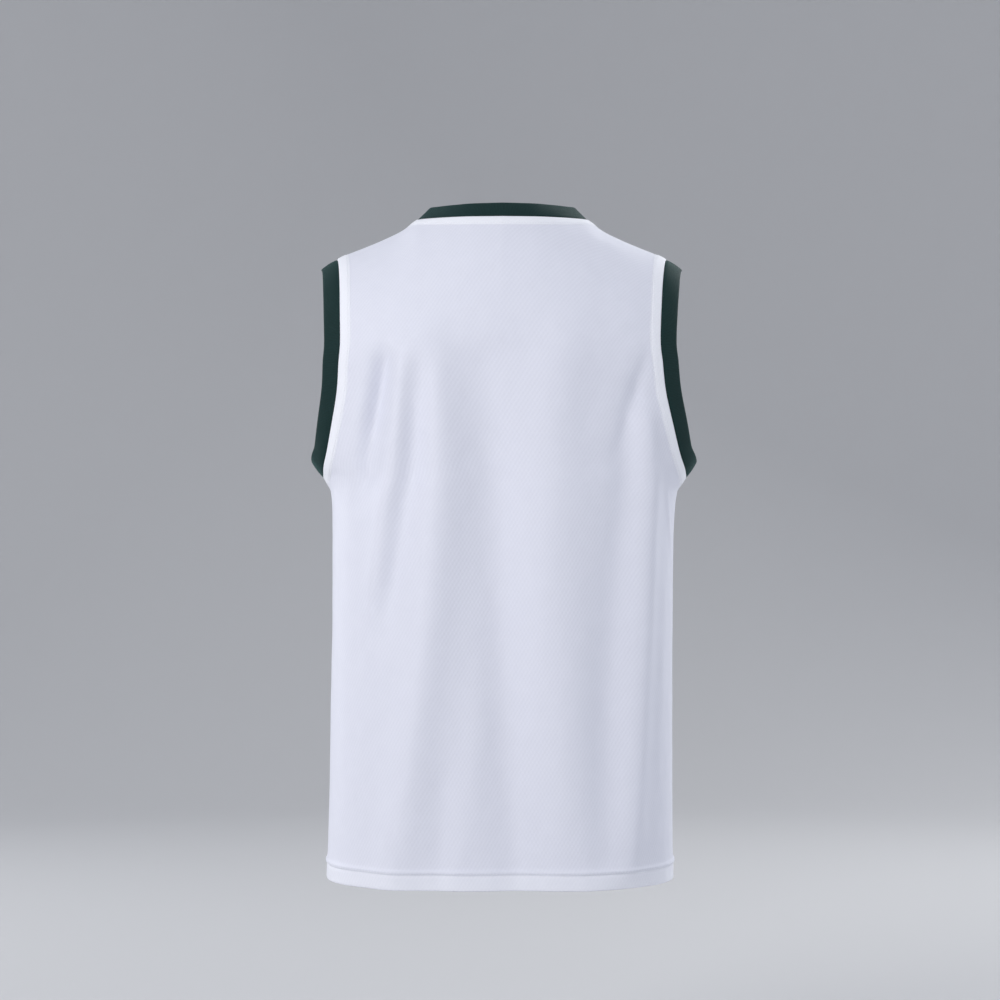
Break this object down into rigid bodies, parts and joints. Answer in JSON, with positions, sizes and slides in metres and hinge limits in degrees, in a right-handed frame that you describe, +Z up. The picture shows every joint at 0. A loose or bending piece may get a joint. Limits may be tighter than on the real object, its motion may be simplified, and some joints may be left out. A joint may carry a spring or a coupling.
{
  "type": "basketball jersey",
  "caption": "Sleeveless knitted basketball jersey in its worn form, hollow and open at the neck, armholes and hem, with rib bands round the neck and armholes.",
  "frame": {"origin": "midway between the shoulders, level with the points where the neck seam crosses them", "axes": "+Z up, -Y towards the front of the wearer, +X towards the wearer's left"},
  "size_m": [0.4029, 0.249, 0.7003],
  "materials": {
    "white_knit": "fine white birdseye knit",
    "dark_green_rib": "dark green rib knit"
  },
  "bodies": {
    "root": {"back_panel": "white_knit", "front_panel": "white_knit", "neck_band": "dark_green_rib", "armhole_band_left": "dark_green_rib", "armhole_band_right": "dark_green_rib"}
  },
  "joints": []
}
